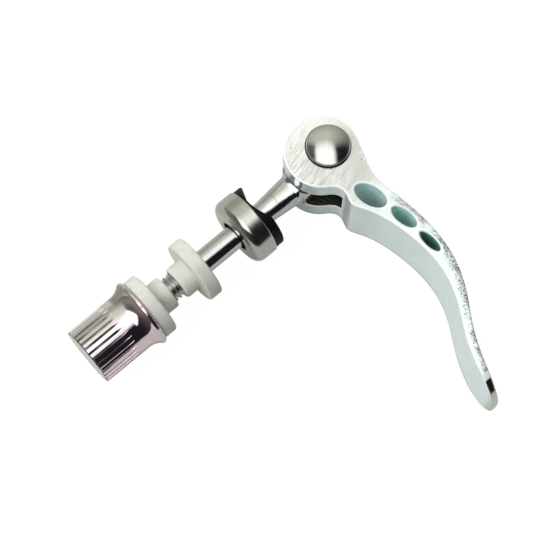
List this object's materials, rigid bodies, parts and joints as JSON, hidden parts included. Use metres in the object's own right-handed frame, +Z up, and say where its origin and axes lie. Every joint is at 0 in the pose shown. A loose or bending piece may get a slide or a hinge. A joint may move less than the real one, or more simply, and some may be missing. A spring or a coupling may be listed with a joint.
{
  "type": "quick release seatpost clamp",
  "caption": "Quick release seatpost clamp: a forked cam lever draws an eye bolt, so a cup-backed saddle and a fluted nut squeeze a frame's split seat lug between flanged bushes.",
  "frame": {"origin": "on the bolt's axis, in the plane where the inner bush's flange seats on its ear of the frame's lug, at rest", "axes": "+X along the bolt from the lever to the nut, +Y towards the tail of the closed handle, +Z up along the rivet"},
  "size_m": [0.0756, 0.0742, 0.0238],
  "materials": {
    "plated_steel": "zinc plated, brushed on the faces",
    "polished_rivet": "polished",
    "polished_bolt": "polished plating",
    "black_plastic": "moulded",
    "polished_cup": "polished",
    "white_nylon": "moulded, satin",
    "chromed_nut": "bright chrome"
  },
  "bodies": {
    "bolt": {"eye_bolt": "polished_bolt"},
    "lever": {"lever": "plated_steel", "pivot_rivet": "polished_rivet"},
    "cup": {"cup_washer": "polished_cup"},
    "seat": {"cam_seat": "black_plastic"},
    "inner_bush": {"inner_bush": "white_nylon"},
    "outer_bush": {"outer_bush": "white_nylon"},
    "nut": {"adjusting_nut": "chromed_nut"}
  },
  "joints": [
    {"name": "lever_pivot", "type": "hinge", "parent": "bolt", "child": "lever", "pos_m": [-0.0401, 0, 0], "axis": [0, 0, 1], "range_deg": [-15, 170]},
    {"name": "cup_slide", "type": "slide", "parent": "bolt", "child": "cup", "axis": [1, 0, 0], "range_m": [-0.0085, 0.0045]},
    {"name": "seat_turn", "type": "hinge", "parent": "cup", "child": "seat", "pos_m": [-0.016, 0, 0], "axis": [1, 0, 0], "range_deg": [-47, 13]},
    {"name": "inner_bush_slide", "type": "slide", "parent": "bolt", "child": "inner_bush", "axis": [1, 0, 0], "range_m": [-0.0049, 0.0012]},
    {"name": "outer_bush_slide", "type": "slide", "parent": "bolt", "child": "outer_bush", "axis": [1, 0, 0], "range_m": [-0.00101, 0.00701]},
    {"name": "nut_turn", "type": "hinge", "parent": "outer_bush", "child": "nut", "pos_m": [0.02, 0, 0], "axis": [1, 0, 0], "range_deg": [-360, 2520]}
  ],
  "couplings": [
    {"joint": "outer_bush_slide", "follows": "nut_turn", "m_per_rad": 0.00015915}
  ]
}
